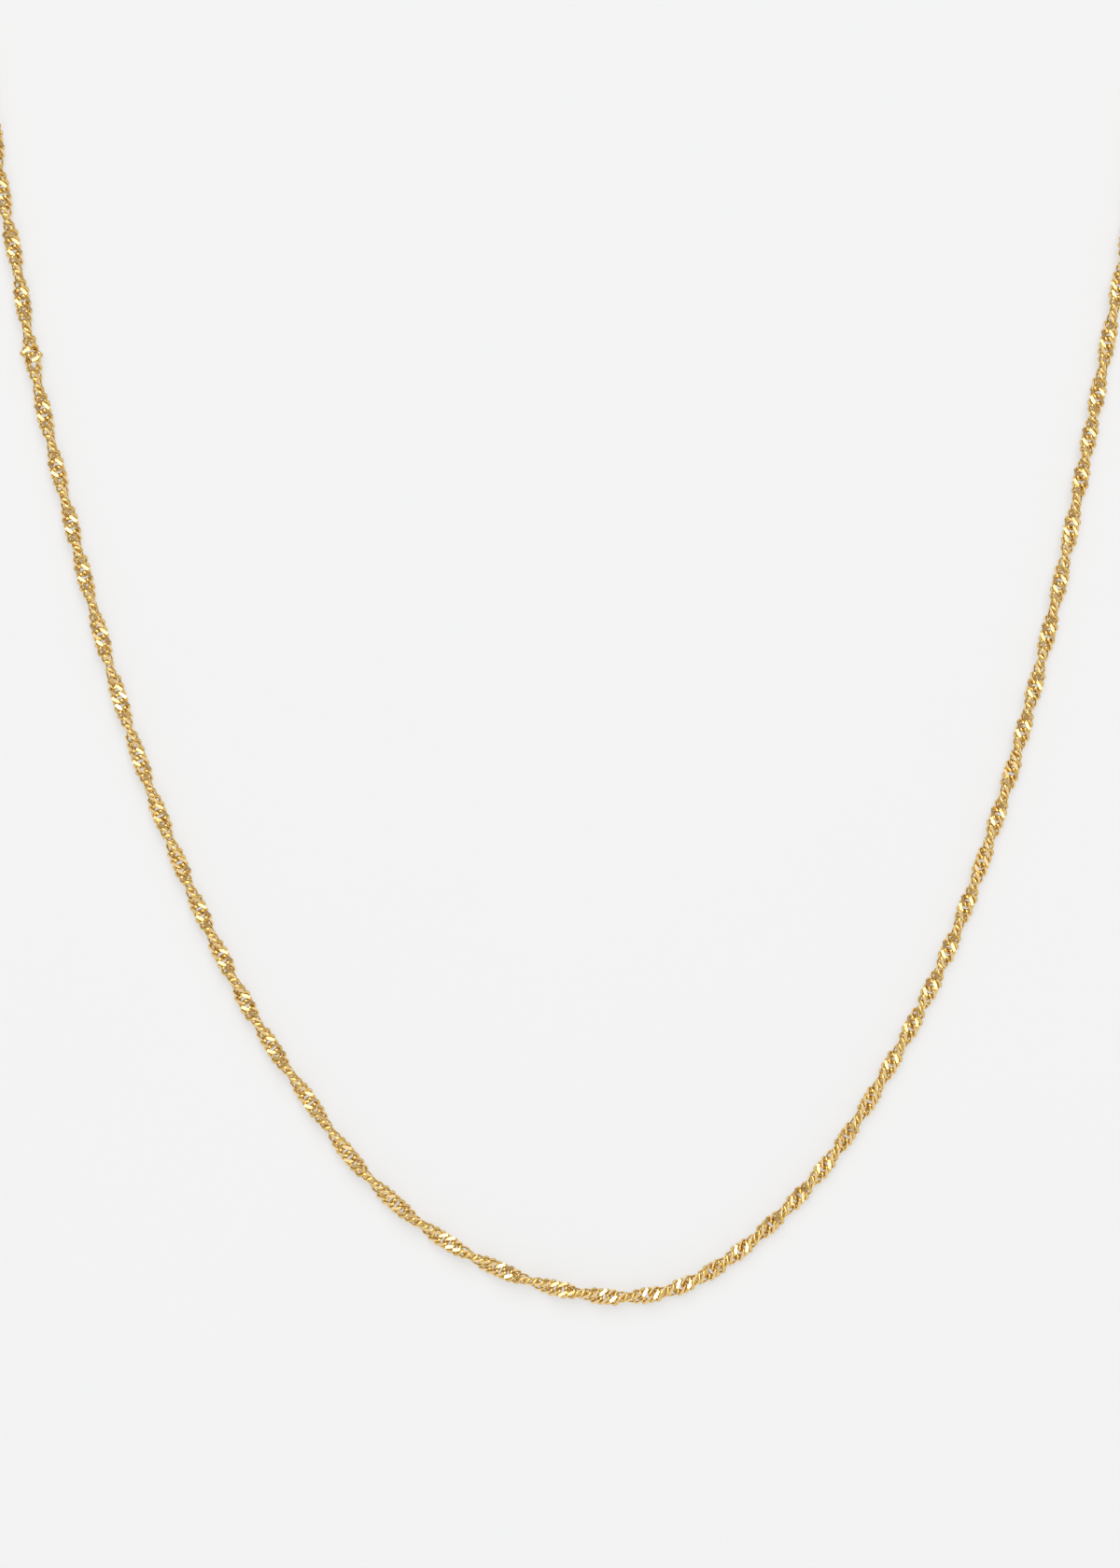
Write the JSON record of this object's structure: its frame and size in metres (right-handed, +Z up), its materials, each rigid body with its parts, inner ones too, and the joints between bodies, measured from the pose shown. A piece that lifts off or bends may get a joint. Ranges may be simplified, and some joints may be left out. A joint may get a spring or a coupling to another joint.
{
  "type": "twisted chain necklace",
  "caption": "Fine twisted chain of small interlocking diamond-cut rings, hanging in a deep U and closed behind the neck by a plain ring clasp.",
  "frame": {"origin": "underside of the clasp at the top of the loop, where the necklace rests on the nape or on a peg", "axes": "+X to the right across the hanging loop, +Y through the loop away from the viewer of its front, +Z up"},
  "size_m": [0.1068, 0.0032, 0.1802],
  "materials": {
    "chain_gold": "polished yellow gold with bright diamond-cut facets",
    "fitting_gold": "polished yellow gold with fine wear"
  },
  "bodies": {
    "root": {"chain": "chain_gold", "clasp": "fitting_gold", "end_ring_left": "fitting_gold", "end_ring_right": "fitting_gold"}
  },
  "joints": []
}
